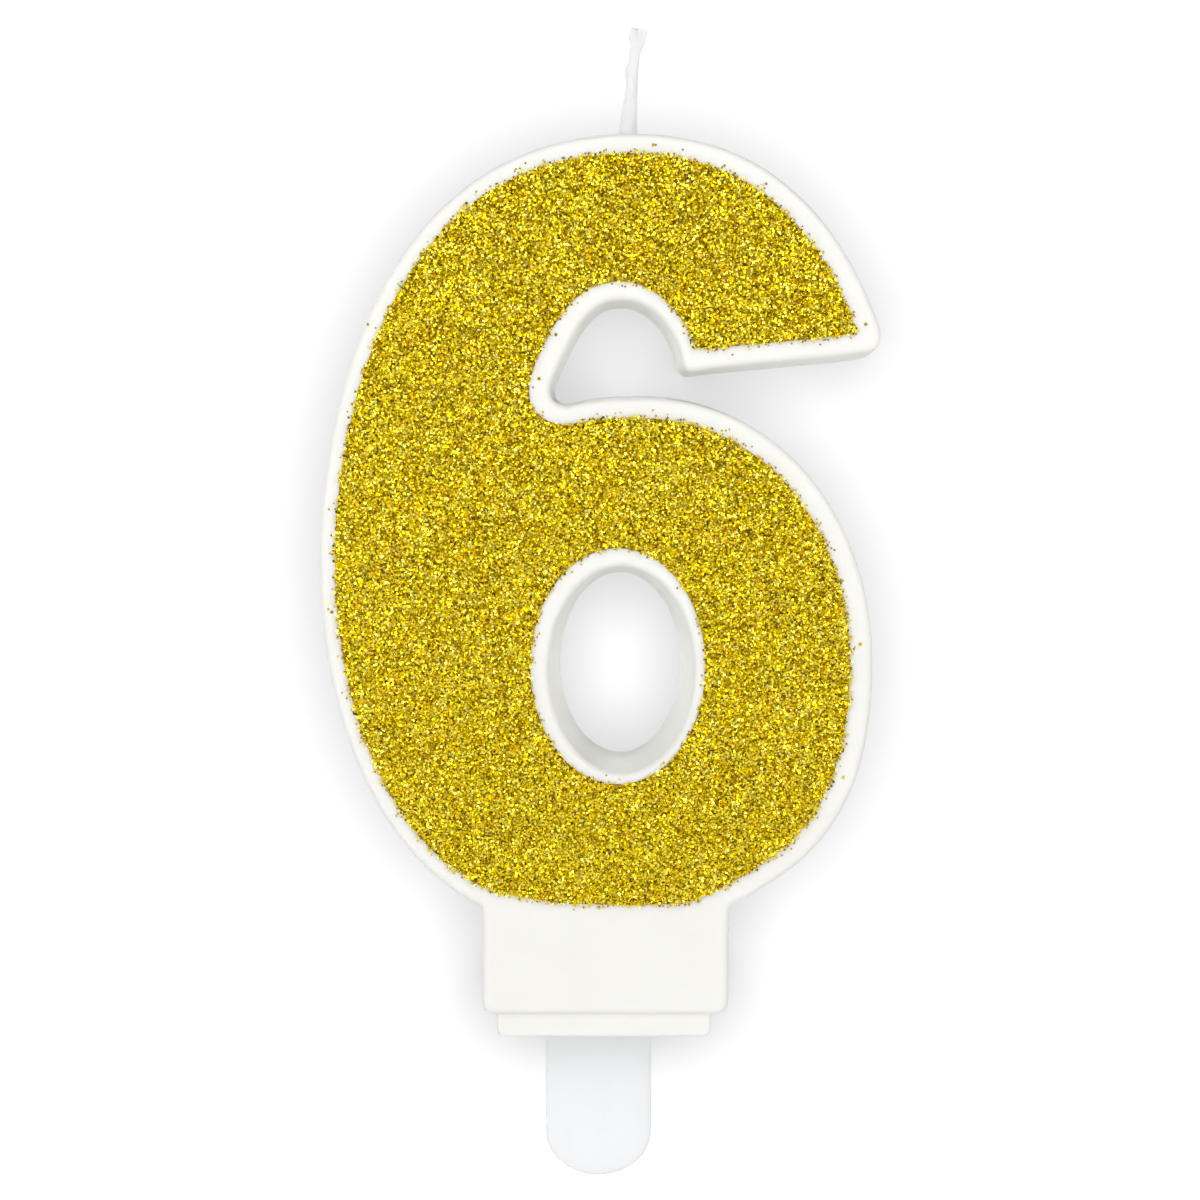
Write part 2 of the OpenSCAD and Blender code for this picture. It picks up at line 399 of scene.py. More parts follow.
def node(material, kind, inputs=None, **settings):
    """Adds a node. An input is either another node's output or a plain value."""
    made = material.node_tree.nodes.new(kind)
    for key, value in settings.items():
        setattr(made, key, value)
    for key, value in (inputs or {}).items():
        if isinstance(value, bpy.types.NodeSocket):
            material.node_tree.links.new(value, made.inputs[key])
        else:
            made.inputs[key].default_value = value
    return made


def link(material, output, shader, socket):
    material.node_tree.links.new(output, shader.inputs[socket])


def place(material, per_mm=(1, 1, 1), turned=(0, 0, 0)):
    """The object's own coordinates, in millimetres times per_mm along each axis."""
    coordinates = node(material, "ShaderNodeTexCoord")
    scale = [k / MM for k in per_mm]
    mapping = node(material, "ShaderNodeMapping",
                   {"Vector": coordinates.outputs["Object"], "Scale": scale, "Rotation": turned})
    return mapping.outputs["Vector"]


def noise(material, vector, scale=1.0, detail=3.0, rough=0.5):
    made = node(material, "ShaderNodeTexNoise",
                {"Vector": vector, "Scale": scale, "Detail": detail, "Roughness": rough})
    return made.outputs["Fac"]


def ramp(material, value, *stops):
    """A colour ramp: stops are (position, colour)."""
    made = node(material, "ShaderNodeValToRGB", {"Fac": value})
    elements = made.color_ramp.elements
    while len(elements) < len(stops):
        elements.new(0.5)
    for element, (position, colour) in zip(elements, stops):
        element.position = position
        element.color = (*colour, 1)
    return made.outputs["Color"]


def mixed(material, factor, a, b, blend="MIX"):
    made = node(material, "ShaderNodeMix", data_type="RGBA", blend_type=blend)
    for key, value in ((0, factor), (6, a), (7, b)):
        if isinstance(value, bpy.types.NodeSocket):
            material.node_tree.links.new(value, made.inputs[key])
        else:
            made.inputs[key].default_value = value if key == 0 else (*value, 1)
    return made.outputs[2]


def math_node(material, operation, a, b=0.0):
    made = node(material, "ShaderNodeMath", {0: a, 1: b}, operation=operation)
    return made.outputs[0]


def bump(material, shader, height, depth, strength=1.0, before=None):
    """Adds a bump of the given depth in millimetres, on top of an earlier one."""
    inputs = {"Height": height, "Distance": depth * MM, "Strength": strength}
    if before is not None:
        inputs["Normal"] = before
    made = node(material, "ShaderNodeBump", inputs)
    link(material, made.outputs["Normal"], shader, "Normal")
    return made.outputs["Normal"]


def wall_share(material):
    """1 on walls that face sideways, 0 on the front and back faces: the mask for the walls' painted
    shade and drag lines.
    """
    coordinates = node(material, "ShaderNodeTexCoord")
    split = node(material, "ShaderNodeSeparateXYZ", {"Vector": coordinates.outputs["Normal"]})
    facing = math_node(material, "ABSOLUTE", split.outputs["Y"])
    return math_node(material, "SUBTRACT", 1.0, facing)


def wax_material():
    """Off-white candle wax: faint clouding, an orange-peel skin, drag lines on the walls, and painted
    shade that makes the walls a little darker and greyer.
    """
    material, shader = new_material("candle_wax", {
        "Roughness": 0.42, "Subsurface Weight": 0.35, "Subsurface Scale": 1.2 * MM,
        "Subsurface Radius": (1.0, 0.9, 0.7), "IOR": 1.44, "Specular IOR Level": 0.35,
    })
    clouds = noise(material, place(material), 0.16, 4)
    body = ramp(material, clouds, (0.3, (0.822, 0.815, 0.776)), (0.7, (0.845, 0.841, 0.808)))
    streaks = noise(material, place(material, (0.5, 7, 0.5)), 1.0, 5, 0.65)
    # The sideways walls get a darker, greyer tone: painted shade, streaked with the real drag lines.
    wall_drag_lines_and_painted_shade = ramp(material, streaks, (0.35, (0.765, 0.772, 0.72)), (0.65, (0.86, 0.86, 0.82)))
    walls = wall_share(material)
    link(material, mixed(material, walls, body, wall_drag_lines_and_painted_shade), shader, "Base Color")
    dimples = bump(material, shader, noise(material, place(material), 1.6, 4), 0.02)
    drag = math_node(material, "MULTIPLY", streaks, walls)
    bump(material, shader, drag, 0.09, before=dimples)
    return material


def glitter_material(name, low, high):
    """Metallised film in gold: each flake has its own tone, and patches lean orange or yellow."""
    material, shader = new_material(name, {"Metallic": 1.0, "Roughness": 0.18})
    flake = node(material, "ShaderNodeNewGeometry").outputs["Random Per Island"]
    tone = ramp(material, flake, (0.0, low), (0.3, (0.86, 0.61, 0.003)),
                (0.65, (1.0, 0.8, 0.012)), (1.0, high))
    patches = noise(material, place(material), 0.75, 2)
    orange = ramp(material, patches, (0.48, (1.0, 1.0, 1.0)), (0.7, (1.0, 0.9, 0.75)))
    link(material, mixed(material, 1.0, tone, orange, "MULTIPLY"), shader, "Base Color")
    bump(material, shader, noise(material, place(material), 13, 2), 0.008)
    return material


def glue_material():
    """Clear glue full of pressed-in flakes: dark gold cells with glints between them."""
    material, shader = new_material("glitter_glue", {"Metallic": 0.85, "Roughness": 0.35})
    cells = node(material, "ShaderNodeTexVoronoi", {"Vector": place(material), "Scale": 4.2})
    tone = node(material, "ShaderNodeSeparateColor", {"Color": cells.outputs["Color"]})
    colour = ramp(material, tone.outputs["Red"], (0.1, (0.16, 0.1, 0.005)),
                  (0.6, (0.5, 0.34, 0.02)), (1.0, (0.9, 0.7, 0.1)))
    link(material, colour, shader, "Base Color")
    bump(material, shader, cells.outputs["Distance"], 0.06)
    return material


def cotton_material():
    """Bleached cotton: fine fibres that run round the ply."""
    material, shader = new_material("wick_cotton", {
        "Roughness": 0.85, "Subsurface Weight": 0.2, "Subsurface Scale": 0.3 * MM,
        "Sheen Weight": 0.3, "Sheen Roughness": 0.5,
    })
    fibres = noise(material, place(material, (9, 9, 2.5), (0.3, 0.2, 0)), 1.0, 4, 0.6)
    colour = ramp(material, fibres, (0.3, (0.8, 0.79, 0.76)), (0.7, (0.93, 0.93, 0.91)))
    link(material, colour, shader, "Base Color")
    bump(material, shader, fibres, 0.03)
    return material


def wick_wax_material():
    """Thin wax over the wick, with the cotton's twist showing through as faint ridges."""
    material, shader = new_material("wick_skin_wax", {
        "Roughness": 0.38, "Subsurface Weight": 0.45, "Subsurface Scale": 0.8 * MM,
        "Subsurface Radius": (1.0, 0.95, 0.85), "IOR": 1.44, "Specular IOR Level": 0.35,
    })
    lumps = noise(material, place(material, (1.6, 1.6, 0.7)), 1.0, 4)
    colour = ramp(material, lumps, (0.3, (0.95, 0.95, 0.94)), (0.7, (0.98, 0.98, 0.975)))
    link(material, colour, shader, "Base Color")
    soft = bump(material, shader, lumps, 0.06)
    threads = noise(material, place(material, (5, 5, 1.1), (0.35, 0.25, 0)), 1.0, 3)
    bump(material, shader, threads, 0.02, before=soft)
    return material


def pick_material():
    """Milky moulded polypropylene, with faint flow marks and a fine matt texture."""
    material, shader = new_material("pick_plastic", {
        "Roughness": 0.36, "Subsurface Weight": 0.85, "Subsurface Scale": 4.5 * MM,
        "Subsurface Radius": (0.9, 0.95, 1.0), "IOR": 1.49, "Specular IOR Level": 0.4,
    })
    flow = noise(material, place(material, (0.5, 0.5, 0.16)), 1.0, 3)
    colour = ramp(material, flow, (0.3, (0.76, 0.773, 0.797)), (0.7, (0.78, 0.793, 0.817)))
    link(material, colour, shader, "Base Color")
    grain = bump(material, shader, noise(material, place(material), 7, 2), 0.006)
    bump(material, shader, flow, 0.05, before=grain)
    return material


# ---------------------------------------------------------------- the wax casting
LOOP_STEP = 0.22
CORNER_EASE = 0.22
BACK_EDGE_R = 0.18
FOOT_LOOP_STEP = 0.2
FOOT_EASE = 0.1
FOOT_EDGE_R = 0.3
WALL_WOBBLE = 0.02
FACE_WAVES = (0.03, 0.12)


def six_outline():
    """The digit and its plinth as one closed loop, at the depth where the front rounding ends."""
    right = PLINTH_X + PLINTH_W / 2 - PLINTH_CORNER
    left = PLINTH_X - PLINTH_W / 2 + PLINTH_CORNER
    low = PLINTH_Z + PLINTH_CORNER
    corners = [arc((right, low), PLINTH_CORNER, 0, -90), arc((left, low), PLINTH_CORNER, -90, -180)]
    rough = np.concatenate([along(SIX), [SIX[-1][:2]], *corners])
    return softened(evenly(rough, LOOP_STEP), LOOP_STEP, CORNER_EASE)


def counter_loop(grow=0.0, step=LOOP_STEP):
    a = np.linspace(0, 2 * math.pi, 720, endpoint=False)
    ellipse = np.stack([COUNTER[0] + (COUNTER_R[0] + grow) * np.cos(a),
                        COUNTER[1] + (COUNTER_R[1] + grow) * np.sin(a)], 1)
    return evenly(ellipse, step)


def wax_foot():
    """The smaller foot under the plinth, set back from both faces."""
    right = FOOT_X + FOOT_W / 2 - FOOT_CORNER
    left = FOOT_X - FOOT_W / 2 + FOOT_CORNER
    top = PLINTH_Z + FOOT_OVERLAP - FOOT_CORNER
    corners = [(left, top, 180), (right, top, 90), (right, FOOT_CORNER, 0), (left, FOOT_CORNER, -90)]
    loop = np.concatenate([arc((x, z), FOOT_CORNER, a, a - 90) for x, z, a in corners])
    loop = softened(evenly(loop, FOOT_LOOP_STEP), FOOT_LOOP_STEP, FOOT_EASE)
    front, back = FRONT + FOOT_INSET, BACK - FOOT_INSET
    return plate("foot", [(loop, rounded_profile(front, back, FOOT_EDGE_R, 0, FOOT_EDGE_R))])


def slot_cutter():
    """The slot that the pick pushes into."""
    x, y = PICK_HIGH[0] + PICK_GAP, PICK_HIGH[1] + PICK_GAP
    top = PICK_HIGH[2] + PICK_GAP
    corners = [(a * x, b * y, c) for c in (-1, top) for a, b in ((-1, -1), (1, -1), (1, 1), (-1, 1))]
    sides = [(i, (i + 1) % 4, 4 + (i + 1) % 4, 4 + i) for i in range(4)]
    return outward(mesh_of("slot", corners, [(3, 2, 1, 0), (4, 5, 6, 7)] + sides))


def channel_cutter():
    """The narrow channel that the wick's plies fill."""
    line = spline([(WICK[0][0] + 0.3, WICK[0][1] - 1)] + WICK, 5)
    points, faces = tube(line, round_sections(np.full(len(line), CHANNEL_R), 12))
    return outward(mesh_of("channel", points, faces))


def wax_casting():
    body = plate("wax_casting", [
        (six_outline(), rounded_profile(FRONT, BACK, EDGE_R, DRAFT, BACK_EDGE_R)),
        (counter_loop(), rounded_profile(FRONT, BACK, EDGE_R, COUNTER_DRAFT, BACK_EDGE_R)),
    ], wobble=WALL_WOBBLE, waves=FACE_WAVES)
    boolean(body, wax_foot(), "UNION")
    boolean(body, slot_cutter(), "DIFFERENCE")
    boolean(body, channel_cutter(), "DIFFERENCE")
    return dressed(smooth(body), wax_material(), "wax", "candle", "wax_body")


# ---------------------------------------------------------------- the glitter
FLAKE_SPACING = 0.17
FLAKE_D = (0.16, 0.23)
FLAKE_T = 0.035
FLAKES_PER_PIECE = 9000
MAX_TILT = 34
GLUE_TUCK = 0.15
GLUE_LOOP_STEP = 0.25
GLUE_EASE = 0.8
PRINT_LOOP_STEP = 0.15
# Each flake's random shift, as a share of the spacing.
FLAKE_JITTER = 0.36
# The coat's edge: how far inside the printed line it stops, and how uneven it is.
EDGE_INSET = 0.16
EDGE_RAGGED = 0.1
# Single flakes past the edge: the share of places filled at the edge, how fast it falls, its limit.
SCATTER_SHARE = 0.22
SCATTER_FALL = 0.12
SCATTER_LIMIT = 0.7
# Flakes on the bare rim are smaller and lie nearly flat on the wax.
RIM_FROM = -0.02
RIM_SIZE = 0.85
RIM_TILT = 0.25


def hexagon_flakes(name, centres, size, tilt, spin):
    """Closed six-sided plates. centres: (n, 3); tilt: (n, 2) slopes along x and z."""
    n = len(centres)
    a = spin[:, None] + np.arange(6) * math.pi / 3
    x = size[:, None] / 2 * np.cos(a)
    z = size[:, None] / 2 * np.sin(a)
    y = tilt[:, :1] * x + tilt[:, 1:] * z
    ring = np.stack([x, y, z], 2) + centres[:, None, :]
    front = ring - np.array([0, FLAKE_T / 2, 0])
    back = ring + np.array([0, FLAKE_T / 2, 0])
    points = np.concatenate([front, back], 1).reshape(-1, 3)
    faces = []
    for b in range(0, 12 * n, 12):
        faces.append([b + k for k in range(6)])
        faces.append([b + 11 - k for k in range(6)])
        faces += [[b + k, b + 6 + k, b + 6 + (k + 1) % 6, b + (k + 1) % 6] for k in range(6)]
    return mesh_of(name, points, faces)


def random_tilt(rng, n, most):
    """Slopes that are mostly gentle, with a few flakes that stand steeper."""
    angle = np.radians(np.minimum(np.abs(rng.normal(0, most * 0.55, n)), most))
    way = rng.uniform(0, 2 * math.pi, n)
    return np.stack([np.tan(angle) * np.cos(way), np.tan(angle) * np.sin(way)], 1)


def glitter_places(rng):
    """Where flakes lie on the face, with each one's distance inside the printed line. They are
    dense inside it, and ragged and sparse past its edge."""
    digit = along(SIX + [BOWL_FOOT, SIX[0]])
    loop = evenly(digit, PRINT_LOOP_STEP) - np.array([PRINT_SHIFT, 0])
    hole = counter_loop(COUNTER_RIM, PRINT_LOOP_STEP) + np.array([-PRINT_SHIFT, COUNTER_PRINT_LIFT])
    spots = hex_grid(loop.min(0), loop.max(0), FLAKE_SPACING)
    spots = spots + rng.uniform(-FLAKE_JITTER, FLAKE_JITTER, spots.shape) * FLAKE_SPACING
    gap = np.where(inside(spots, loop), clearance(spots, loop), -1) - RIM
    hole_gap = clearance(spots, hole) * np.where(inside(spots, hole), -1, 1)
    gap = np.minimum(gap, hole_gap)
    ragged = rng.normal(EDGE_INSET, EDGE_RAGGED, len(spots))
    scatter = SCATTER_SHARE * np.exp(np.minimum(gap, 0) / SCATTER_FALL)
    by_the_edge = (gap < 0.1) & (gap > -SCATTER_LIMIT)
    keep = (gap > ragged) | (by_the_edge & (rng.random(len(spots)) < scatter))
    return spots[keep], gap[keep]


def glitter_flakes():
    rng = np.random.default_rng(66)
    spots, gap = glitter_places(rng)
    n = len(spots)
    tilt = random_tilt(rng, n, MAX_TILT)
    size = rng.uniform(*FLAKE_D, n)
    spin = rng.uniform(0, math.pi / 3, n)
    droop = size / 2 * np.linalg.norm(tilt, axis=1) + FLAKE_T / 2
    top, bottom = COAT_LOW[1] + droop, COAT_HIGH[1] - droop
    y = top + (bottom - top) * rng.random(n)
    on_rim = gap < RIM_FROM
    size[on_rim] *= RIM_SIZE
    tilt[on_rim] *= RIM_TILT
    y[on_rim] = FRONT - FLAKE_T / 2 - RIM_TILT * (droop[on_rim] - FLAKE_T / 2)
    material = glitter_material("gold_glitter", (0.42, 0.25, 0.001), (1.0, 0.93, 0.18))
    order = np.argsort(spots[:, 1])
    pieces = math.ceil(n / FLAKES_PER_PIECE)
    for number, part in enumerate(np.array_split(order, pieces), 1):
        centres = np.stack([spots[part, 0], y[part], spots[part, 1]], 1)
        name = f"glitter_flakes_{number}"
        flakes = hexagon_flakes(name, centres, size[part], tilt[part], spin[part])
        dressed(flakes, material, "glitter", "candle", "glitter_coat")


# A CAD flake's own vertices all lie within STRAY_REACH of each other.
STRAY_REACH = 0.6
STRAY_D = (0.22, 0.3)
STRAY_TILT = 5
STRAY_LIFT = 0.012


def stray_places():
    """The middle of each loose flake in the CAD node."""
    left = [np.array(v.co) / MM for v in frame["nodes"]["stray_flakes"].data.vertices]
    middles = []
    while left:
        near = [p for p in left if np.linalg.norm(p - left[0]) < STRAY_REACH]
        left = [p for p in left if np.linalg.norm(p - left[0]) >= STRAY_REACH]
        middles.append((np.min(near, 0) + np.max(near, 0)) / 2)
    return np.array(middles)


def stray_flakes():
    rng = np.random.default_rng(12)
    centres = stray_places()
    n = len(centres)
    tilt = random_tilt(rng, n, STRAY_TILT)
    centres[:, 1] = FRONT - FLAKE_T / 2 - STRAY_LIFT
    size = rng.uniform(*STRAY_D, n)
    flakes = hexagon_flakes("stray_glitter", centres, size, tilt, rng.uniform(0, 1, n))
    material = glitter_material("stray_gold", (0.3, 0.22, 0.02), (0.7, 0.5, 0.1))
    dressed(flakes, material, "glitter", "candle", "stray_flakes")


def face_loops(name, y):
    """The closed outlines of a CAD node's flat face at the given y, the longest one first."""
    mesh = frame["nodes"][name].data
    spots = [tuple(np.round(np.array(v.co) / MM, 4)) for v in mesh.vertices]
    sides = {}
    for polygon in mesh.polygons:
        corners = [spots[i] for i in polygon.vertices]
        if all(abs(c[1] - y) < 0.005 for c in corners):
            for a, b in zip(corners, corners[1:] + corners[:1]):
                if sides.pop((b, a), None) is None:
                    sides[(a, b)] = True
    onward = dict(sides.keys())
    loops = []
    while onward:
        here = next(iter(onward))
        loop = []
        while here in onward:
            loop.append((here[0], here[2]))
            here = onward.pop(here)
        loops.append(np.array(loop))
    return sorted(loops, key=lambda found: -len(found))


def glue_film():
    """The glue under the flakes. Its edge follows the CAD film's, eased, and hides under the flakes."""
    low, high = node_box("glue_film")
    loops = []
    for rough in face_loops("glue_film", low[1]):
        loop = softened(evenly(rough, GLUE_LOOP_STEP), GLUE_LOOP_STEP, GLUE_EASE)
        tuck = [(-GLUE_TUCK, low[1]), (-GLUE_TUCK, high[1])]
        loops.append((loop, tuck))
    film = smooth(plate("glue_layer", loops, grain=1.2))
    dressed(film, glue_material(), "glue", "candle", "glue_film")


# ---------------------------------------------------------------- the wick
# Rows down the bare wick: z, x of its left edge, x of its right edge, half its depth along Y.
WICK_EDGES = [
    (69.2, 1.15, 3.2, 0.95),
    (70.3, 1.4, 3.1, 0.78),
    (71.7, 1.75, 3.06, 0.6),
    (72.9, 1.96, 3.06, 0.5),
    (73.9, 2.1, 3.08, 0.47),
    (74.8, 2.1, 3.12, 0.46),
    (75.3, 2.06, 3.17, 0.46),
    (75.8, 2.3, 3.21, 0.44),
    (76.6, 2.4, 3.27, 0.4),
    (77.2, 2.42, 3.55, 0.34),
    (78.0, 2.4, 3.8, 0.28),
    (78.6, 2.38, 3.88, 0.24),
]
SKIN_SIDES = 36
SKIN_RINGS = 90
# How deep the plies' lobes and the wax's lumps are, and how wide the bore is, as shares of the width.
SKIN_LOBES = 0.035
SKIN_LUMPS = 0.025
BORE_SHARE = 0.72
TIP_NOTCH = 0.35
PLY_SIDES = 20
PLY_STRANDS = 5
STRAND_PITCH = 4
STRAND_DEPTH = 0.07
# The plies spread and flatten from here up.
SPLAY_Z = 76.2
FIBRES = 16
FIBRE_R = 0.045


def skin_wall(bore):
    """Rings of the wick's wax skin, outside or at the bore, from the casting up to the tip."""
    rows = np.array(WICK_EDGES)
    z = np.linspace(SKIN_LOW[2], SKIN_HIGH[2] - 0.02, SKIN_RINGS)
    left, right, half = (np.interp(z, rows[:, 0], rows[:, k]) for k in (1, 2, 3))
    kernel = np.array([1, 2, 3, 2, 1]) / 9
    left, right, half = (
        np.convolve(np.pad(v, 2, mode="edge"), kernel, mode="valid") for v in (left, right, half)
    )
    a = np.arange(SKIN_SIDES) * 2 * math.pi / SKIN_SIDES
    twist = 2 * math.pi * (z - z[0])[:, None] / PLY_PITCH
    lobes = 1 - SKIN_LOBES * (1 - np.cos(3 * (a[None] - twist)))
    height = z[:, None]
    uneven = ripple(9 * np.cos(a)[None] + 3 * height, 7 * np.sin(a)[None] - 5 * height)
    shape = lobes * (1 + SKIN_LUMPS * uneven) * (BORE_SHARE if bore else 1.0)
    middle = (left + right)[:, None] / 2
    x = middle + (right - left)[:, None] / 2 * np.cos(a)[None] * shape
    y = half[:, None] * np.sin(a)[None] * shape
    top = (z - z[0]) / (z[-1] - z[0])
    notch = TIP_NOTCH * np.exp(-((np.cos(a) + 0.25) / 0.3) ** 2) + 0.3 * np.maximum(np.cos(a), 0)
    return np.stack([x, y, height - (top**12)[:, None] * notch[None]], 2)


def wick_skin():
    """Thin wax over the bare wick: it flares into the casting, and splays flat at the tip."""
    outer, inner = skin_wall(False), skin_wall(True)
    n, m = outer.shape[:2]
    points = np.concatenate([outer.reshape(-1, 3), inner.reshape(-1, 3)])
    faces = []
    for s in range(m):
        t = (s + 1) % m
        for k in range(n - 1):
            a, b = k * m, (k + 1) * m
            faces.append((a + s, a + t, b + t, b + s))
            faces.append((n * m + a + t, n * m + a + s, n * m + b + s, n * m + b + t))
        last = (n - 1) * m
        faces.append((t, s, n * m + s, n * m + t))
        faces.append((last + s, last + t, n * m + last + t, n * m + last + s))
    skin = smooth(outward(mesh_of("wick_skin", points, faces)), 60)
    dressed(skin, wick_wax_material(), "wick_wax", "candle", "wick_wax_skin")


def ply(letter, turn, material):
    """One twisted ply of the wick, made of strands that wind the other way."""
    line = spline(WICK, 30)
    run = run_of(line)
    a = np.arange(PLY_SIDES) * 2 * math.pi / PLY_SIDES
    lay = turn + 2 * math.pi * run / PLY_PITCH
    strands = np.cos(PLY_STRANDS * (a[None] + 2 * math.pi * run[:, None] / STRAND_PITCH))
    radius = PLY_R * (0.93 + STRAND_DEPTH * strands)
    fade = np.clip((line[:, 1] - SPLAY_Z) / 2.4, 0, 1)
    across = PLY_LAY * np.cos(lay) + fade * 0.1 * np.cos(turn)
    depth = PLY_LAY * np.sin(lay) * (1 - 0.6 * fade)
    sections = np.stack([
        across[:, None] + radius * np.cos(a)[None],
        depth[:, None] + radius * np.sin(a)[None] * (1 - 0.35 * fade)[:, None],
    ], 2)
    points, faces = tube(line, sections)
    made = smooth(outward(mesh_of(f"cotton_ply_{letter}", points, faces)), 70)
    dressed(made, material, "cotton", "candle", f"wick_ply_{letter}")


def frayed_end(material):
    """Short fibre ends that stand out of the waxed tip."""
    rng = np.random.default_rng(5)
    points, faces = [], []
    for _ in range(FIBRES):
        foot = np.array([rng.uniform(2.5, 3.5), SKIN_HIGH[2] - rng.uniform(0.9, 1.3)])
        lean = (foot[0] - 2.9) * 0.55 + rng.uniform(-0.1, 0.1)
        tip = np.array([foot[0] + lean * 0.6, SKIN_HIGH[2] - rng.uniform(0.02, 0.3)])
        t = np.linspace(0, 1, 9)[:, None]
        bow = np.array([[0.05, 0]]) * np.sin(t * math.pi) * rng.uniform(-1, 1)
        line = foot + (tip - foot) * t + bow
        radii = FIBRE_R * (1 - 0.6 * t[:, 0] ** 2)
        sections = round_sections(radii, 7)
        sections[:, :, 1] += rng.uniform(-0.14, 0.14)
        fibre, sides = tube(line, sections)
        first = sum(len(earlier) for earlier in points)
        faces += [[i + first for i in face] for face in sides]
        points.append(fibre)
    tuft = smooth(outward(mesh_of("frayed_fibres", np.concatenate(points), faces)), 60)
    dressed(tuft, material, "cotton", "candle")


def wick():
    cotton = cotton_material()
    for k, letter in enumerate("abc"):
        ply(letter, 2 * math.pi * k / 3, cotton)
    wick_skin()
    frayed_end(cotton)


# ---------------------------------------------------------------- the pick
PICK_LOOP_STEP = 0.18
PICK_EASE = 0.3
PICK_EDGE_R = 0.28


def cake_pick():
    """The flat blade with a rounded lower end and two small bevels on its upper corners."""
    half = PICK_HIGH[0]
    low, top = PICK_LOW[2], PICK_HIGH[2]
    a = np.radians(np.linspace(0, -180, 60))
    tip = np.stack([half * np.cos(a), low + PICK_TIP + PICK_TIP * np.sin(a)], 1)
    head = [[-half, top - PICK_BEVEL], [-half + PICK_BEVEL, top],
            [half - PICK_BEVEL, top], [half, top - PICK_BEVEL]]
    rough = evenly(np.concatenate([tip, head]), PICK_LOOP_STEP)
    loop = softened(rough, PICK_LOOP_STEP, PICK_EASE)
    front, back = PICK_LOW[1], PICK_HIGH[1]
    profile = rounded_profile(front, back, PICK_EDGE_R, 0, PICK_EDGE_R, wall_steps=3)
    blade = plate("pick_blade", [(loop, profile)], grain=0.7, waves=(0.02, 0.02))
    dressed(smooth(blade), pick_material(), "pick_plastic", "pick", "cake_pick")


# ---------------------------------------------------------------- stage, light and camera
VIEW_X = 0.1
VIEW_Z = 33.93
EYE_GAP = 290
EYE_RISE = 12
EYE_LEFT = 1.0
VIEW_WIDTH = 92.6
SENSOR = 36
SHEET_GAP = 0.6
FLOOR_DROP = 12
FLOOR_GLOW = 0.2
LIGHT_R = 0.5
FRONT_RADIANCE = 5.7
REAR_RADIANCE = 1.9
ROOM_RADIANCE = 0.1
PAPER_GLOW = 1.06
# The painted halo of shade round the candle: how much darker it gets, and the reach of its occlusion
# test in mm.
PAINTED_HALO_SHADE_DEPTH = 0.52
PAINTED_HALO_SHADE_REACH = 5.5
# A painted shadow round the foot: how dark it is, its middle and its half widths in mm.
FOOT_SHADOW_PAINT_DEPTH = 0.29
FOOT_SHADOW_PAINT_MIDDLE = (0.5, 1.0)
FOOT_SHADOW_PAINT_HALF = (13, 8)
WHITE_BY = 0.5


def fade_to_white(material, shader):
    """The floor glows a little all over, and is as white as the room behind it from WHITE_BY metres
    away."""
    coordinates = node(material, "ShaderNodeTexCoord")
    spot = coordinates.outputs["Object"]
    distance = node(material, "ShaderNodeVectorMath", {0: spot}, operation="LENGTH")
    far = node(material, "ShaderNodeMapRange", {
        "Value": distance.outputs["Value"], "From Min": WHITE_BY * 0.1, "From Max": WHITE_BY,
        "To Min": FLOOR_GLOW,
    })
    glow = node(material, "ShaderNodeEmission", {"Strength": 1.0})
    mix = node(material, "ShaderNodeMixShader",
               {0: far.outputs["Result"], 1: shader.outputs[0], 2: glow.outputs[0]})
    output = material.node_tree.nodes["Material Output"]
    material.node_tree.links.new(mix.outputs[0], output.inputs["Surface"])


def floor_material():
    material, shader = new_material("pale_floor", {"Roughness": 0.9, "Specular IOR Level": 0.0})
    paper = noise(material, place(material), 0.05, 2)
    colour = ramp(material, paper, (0.3, (0.92, 0.92, 0.92)), (0.7, (0.94, 0.94, 0.94)))
    link(material, colour, shader, "Base Color")
    fade_to_white(material, shader)
    return material


def painted_shadow_ellipse(material, middle, half):
    """The mask of the painted shadow round the foot: 1 in the middle of a soft ellipse on the sheet,
    and 0 from its edge on.
    """
    stretched = place(material, (1 / half[0], 0, 1 / half[1]))
    centre = (middle[0] / half[0], 0, middle[1] / half[1])
    offset = node(material, "ShaderNodeVectorMath", {0: stretched, 1: centre}, operation="SUBTRACT")
    away = node(material, "ShaderNodeVectorMath", {0: offset.outputs[0]}, operation="LENGTH")
    pool = node(material, "ShaderNodeMapRange",
                {"Value": away.outputs["Value"], "From Min": 1.0, "From Max": 0.0})
    return pool.outputs["Result"]


